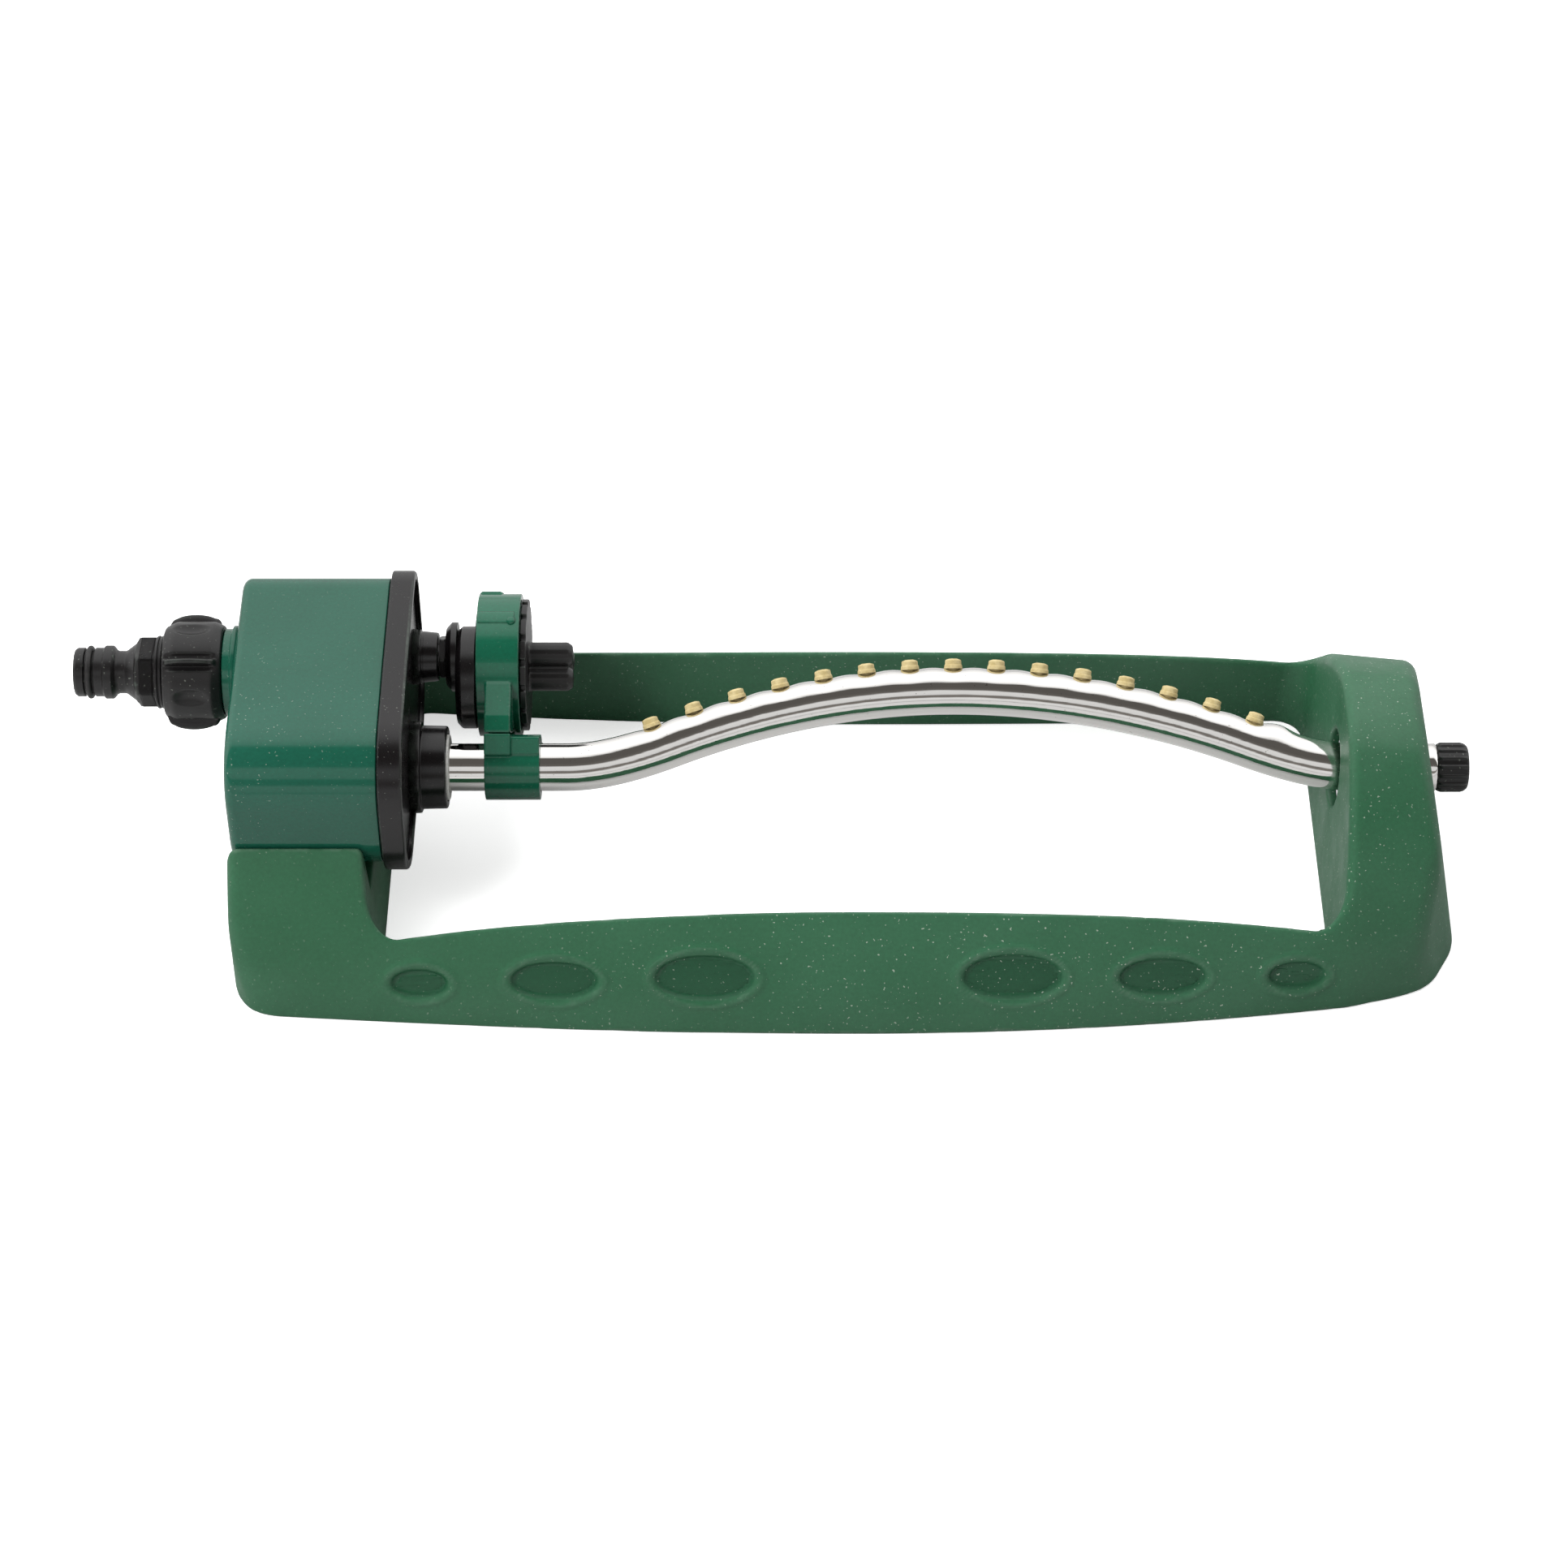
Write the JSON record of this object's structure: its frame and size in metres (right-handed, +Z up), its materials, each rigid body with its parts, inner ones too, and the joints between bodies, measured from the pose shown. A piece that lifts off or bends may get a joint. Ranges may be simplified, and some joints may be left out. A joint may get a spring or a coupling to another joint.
{
  "type": "oscillating lawn sprinkler",
  "caption": "Free-standing oscillating lawn sprinkler: a long ring-shaped base, a water-driven gearbox at one end and an arched spray tube that rocks side to side.",
  "frame": {"origin": "on the ground under the middle of the object's bounding box", "axes": "+X along the spray tube from the hose end to the plug, +Y toward the side the spray leans to at rest, +Z up"},
  "size_m": [0.467, 0.17, 0.0916],
  "materials": {
    "base_plastic": "satin moulded green plastic, lightly speckled",
    "housing_plastic": "glossy deep green plastic",
    "clip_plastic": "semi-gloss green plastic",
    "cover_plastic": "satin black plastic",
    "black_plastic": "semi-gloss black plastic",
    "gear_plastic": "natural white acetal",
    "tube_metal": "polished tube",
    "steel": "plain stainless steel",
    "seal_rubber": "soft black rubber",
    "tube_seal": "pale silicone ring",
    "nozzle_rubber": "tan rubber"
  },
  "bodies": {
    "base": {"base_frame": "base_plastic", "base_screw_1": "steel", "base_screw_2": "steel", "arch_bearing": "black_plastic", "gearbox_housing": "housing_plastic", "gearbox_cover": "cover_plastic", "cover_gasket": "seal_rubber", "cover_screw_1": "steel", "cover_screw_2": "steel", "cover_screw_3": "steel", "cover_screw_4": "steel", "divider_plate": "gear_plastic", "tube_seal": "tube_seal", "shaft_seal": "seal_rubber", "hose_tail": "black_plastic", "hose_tail_oring": "seal_rubber", "inlet_washer": "seal_rubber", "inlet_filter": "gear_plastic", "turbine_pin": "steel", "idler_pin_1": "steel", "idler_pin_2": "steel"},
    "nut": {"swivel_nut": "black_plastic"},
    "tube": {"spray_tube": "tube_metal", "tube_clamp": "clip_plastic", "nozzle_01": "nozzle_rubber", "nozzle_02": "nozzle_rubber", "nozzle_03": "nozzle_rubber", "nozzle_04": "nozzle_rubber", "nozzle_05": "nozzle_rubber", "nozzle_06": "nozzle_rubber", "nozzle_07": "nozzle_rubber", "nozzle_08": "nozzle_rubber", "nozzle_09": "nozzle_rubber", "nozzle_10": "nozzle_rubber", "nozzle_11": "nozzle_rubber", "nozzle_12": "nozzle_rubber", "nozzle_13": "nozzle_rubber", "nozzle_14": "nozzle_rubber", "nozzle_15": "nozzle_rubber"},
    "plug": {"end_plug": "black_plastic", "plug_oring": "seal_rubber"},
    "crank": {"drive_shaft": "steel", "output_gear": "gear_plastic", "crank_disc": "black_plastic", "shaft_nut": "black_plastic"},
    "dial": {"pattern_dial": "black_plastic"},
    "link": {"link_strap": "clip_plastic", "link_pin": "steel"},
    "rotor": {"turbine_rotor": "gear_plastic"},
    "idler_1": {"idler_gear_1": "gear_plastic"},
    "idler_2": {"idler_gear_2": "gear_plastic"}
  },
  "joints": [
    {"name": "tube_swing", "type": "hinge", "parent": "base", "child": "tube", "pos_m": [0, 0, 0.04], "axis": [1, 0, 0], "range_deg": [0, 90]},
    {"name": "crank_turn", "type": "hinge", "parent": "base", "child": "crank", "pos_m": [-0.11, 0.033, 0.06], "axis": [1, 0, 0], "range_deg": [-2, 128]},
    {"name": "link_tilt", "type": "hinge", "parent": "crank", "child": "link", "pos_m": [-0.094, 0.0376, 0.05187], "axis": [1, 0, 0], "range_deg": [-140, 2]},
    {"name": "dial_turn", "type": "hinge", "parent": "crank", "child": "dial", "pos_m": [-0.085, 0.0376, 0.05187], "axis": [1, 0, 0], "range_deg": [0, 270]},
    {"name": "nut_spin", "type": "hinge", "parent": "base", "child": "nut", "pos_m": [-0.193, 0.016, 0.069], "axis": [1, 0, 0], "continuous": true},
    {"name": "plug_turn", "type": "hinge", "parent": "tube", "child": "plug", "pos_m": [0.228, 0, 0.04], "axis": [1, 0, 0], "continuous": true},
    {"name": "rotor_spin", "type": "hinge", "parent": "base", "child": "rotor", "pos_m": [-0.164, -0.02347, 0.05615], "axis": [1, 0, 0], "range_deg": [-1395, 5]},
    {"name": "idler_1_spin", "type": "hinge", "parent": "base", "child": "idler_1", "pos_m": [-0.142, -0.00279, 0.05979], "axis": [1, 0, 0], "range_deg": [-5, 560]},
    {"name": "idler_2_spin", "type": "hinge", "parent": "base", "child": "idler_2", "pos_m": [-0.137, 0.0175, 0.05436], "axis": [1, 0, 0], "range_deg": [-225, 3]}
  ],
  "couplings": [
    {"joint": "crank_turn", "follows": "tube_swing", "ratio": 1.41},
    {"joint": "link_tilt", "follows": "tube_swing", "ratio": -1.535},
    {"joint": "idler_2_spin", "follows": "tube_swing", "ratio": -2.4675},
    {"joint": "idler_1_spin", "follows": "tube_swing", "ratio": 6.1688},
    {"joint": "rotor_spin", "follows": "tube_swing", "ratio": -15.422}
  ]
}
